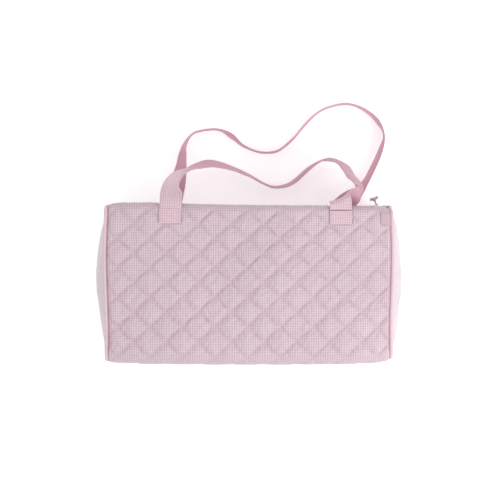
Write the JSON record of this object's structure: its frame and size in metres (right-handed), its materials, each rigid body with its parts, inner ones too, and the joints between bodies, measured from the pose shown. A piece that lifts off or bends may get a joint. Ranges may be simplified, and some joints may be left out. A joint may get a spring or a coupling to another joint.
{
  "type": "diaper bag",
  "caption": "Soft quilted gingham diaper bag, boxy and zip-topped, with piped bulging ends and a pair of loose carrying straps.",
  "frame": {"origin": "middle of the back panel's flat outer face, which the bag lies on", "axes": "+X along the bag's length towards the end where the closed zip's slider is parked, +Y from the base to the zip, +Z from the back panel up to the front panel"},
  "size_m": [0.501, 0.4342, 0.1915],
  "materials": {
    "gingham": "quilted pink and white micro-gingham cotton, matt, diamond stitched",
    "end_gingham": "plain unquilted micro-gingham cotton, matt",
    "piping": "solid rose bias cloth over cord, soft sheen",
    "placket": "folded micro-gingham strip, edge stitched",
    "tape": "woven pink zip tape",
    "coil": "pink nylon coil",
    "metal": "small zip hardware, satin nickel",
    "ribbon": "narrow grey-pink ribbon, knotted",
    "strap": "gingham face with solid rose reverse, edge stitched",
    "lining": "off-white woven lining",
    "binding": "rose bias tape",
    "board": "stiff fibreboard",
    "elastic": "white woven elastic"
  },
  "bodies": {
    "shell": {"front_panel": "gingham", "back_panel": "gingham", "base_panel": "gingham", "end_panel_left": "end_gingham", "end_panel_right": "end_gingham", "piping_left": "piping", "piping_right": "piping", "zip_end_tab_left": "piping", "zip_end_tab_right": "piping", "corner_patch": "piping", "zip_bottom_stop": "metal", "front_strap_end_left": "strap", "front_strap_end_right": "strap", "back_strap_end_left": "strap", "back_strap_end_right": "strap", "lining_front": "lining", "lining_back": "lining", "lining_base": "lining", "lining_end_left": "lining", "lining_end_right": "lining", "seam_binding_left": "binding", "seam_binding_right": "binding", "base_board": "board", "inner_pocket": "lining", "pocket_elastic": "elastic"},
    "front_flap": {"zip_placket_front": "placket", "zip_tape_front": "tape", "zip_coil_front": "coil", "zip_top_stop_front": "metal"},
    "back_flap": {"zip_placket_back": "placket", "zip_tape_back": "tape", "zip_coil_back": "coil", "zip_top_stop_back": "metal"},
    "slider": {"zip_slider": "metal"},
    "pull": {"zip_pull_tab": "metal", "zip_pull_ribbon": "ribbon"},
    "front_handle": {"front_strap": "strap"},
    "back_handle": {"back_strap": "strap"}
  },
  "joints": [
    {"name": "zip_slide", "type": "slide", "parent": "shell", "child": "slider", "axis": [-1, 0, 0], "range_m": [0, 0.4]},
    {"name": "front_flap_fold", "type": "hinge", "parent": "shell", "child": "front_flap", "pos_m": [0, 0.1225, 0.1577], "axis": [-1, 0, 0], "range_deg": [0, 62]},
    {"name": "back_flap_fold", "type": "hinge", "parent": "shell", "child": "back_flap", "pos_m": [0, 0.1225, 0.0203], "axis": [1, 0, 0], "range_deg": [0, 62]},
    {"name": "pull_swing", "type": "hinge", "parent": "slider", "child": "pull", "pos_m": [0.2115, 0.1278, 0.089], "axis": [0, 0, 1], "range_deg": [-64, 22]},
    {"name": "front_handle_swing", "type": "hinge", "parent": "shell", "child": "front_handle", "pos_m": [0, 0.1185, 0.1803], "axis": [1, 0, 0], "range_deg": [0, 150]},
    {"name": "back_handle_swing", "type": "hinge", "parent": "shell", "child": "back_handle", "pos_m": [0, 0.123, 0.002], "axis": [1, 0, 0], "range_deg": [0, 19.5]}
  ],
  "couplings": [
    {"joint": "front_flap_fold", "follows": "zip_slide", "rad_per_m": 2.7},
    {"joint": "back_flap_fold", "follows": "zip_slide", "rad_per_m": 2.7},
    {"joint": "back_handle_swing", "follows": "front_handle_swing", "ratio": 0.13}
  ]
}
